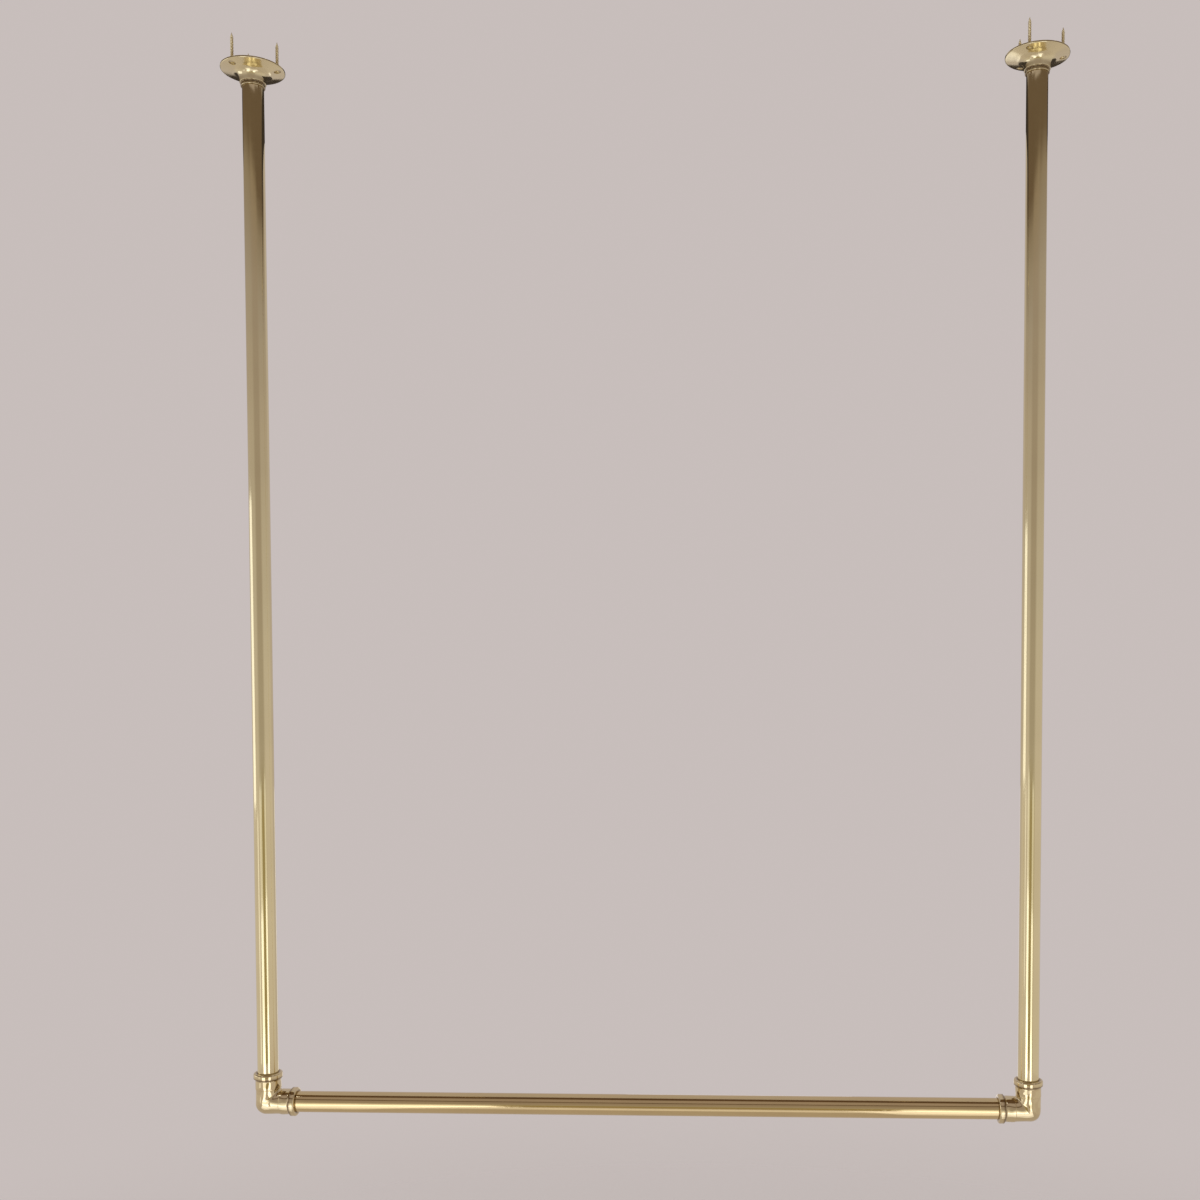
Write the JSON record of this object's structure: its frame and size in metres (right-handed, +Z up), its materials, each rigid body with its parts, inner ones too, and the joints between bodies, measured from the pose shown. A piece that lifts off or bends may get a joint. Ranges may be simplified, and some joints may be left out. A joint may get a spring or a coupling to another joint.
{
  "type": "ceiling clothes rail",
  "caption": "U-shaped polished brass clothes rail that hangs from the ceiling: flanged drop tubes, beaded elbows and a straight hanging tube for clothes hangers.",
  "frame": {"origin": "on the ceiling plane, midway between the axes of the two flanges", "axes": "+Z up into the ceiling, X along the hanging rail, +Y to the back, where the grub screws are"},
  "size_m": [0.88, 0.065, 1.1379],
  "materials": {
    "tube_brass": "polished drawn tube",
    "fitting_brass": "polished turned or cast",
    "screw_brass": "bright, dulled in the recess",
    "grub_steel": "black oxide"
  },
  "bodies": {
    "root": {"left_flange": "fitting_brass", "left_flange_screw_1": "screw_brass", "left_flange_screw_2": "screw_brass", "left_flange_screw_3": "screw_brass", "left_flange_grub_screw": "grub_steel", "left_drop_tube": "tube_brass", "left_elbow": "fitting_brass", "left_elbow_drop_grub_screw": "grub_steel", "left_elbow_rail_grub_screw": "grub_steel", "right_flange": "fitting_brass", "right_flange_screw_1": "screw_brass", "right_flange_screw_2": "screw_brass", "right_flange_screw_3": "screw_brass", "right_flange_grub_screw": "grub_steel", "right_drop_tube": "tube_brass", "right_elbow": "fitting_brass", "right_elbow_drop_grub_screw": "grub_steel", "right_elbow_rail_grub_screw": "grub_steel", "hanging_rail": "tube_brass"}
  },
  "joints": []
}
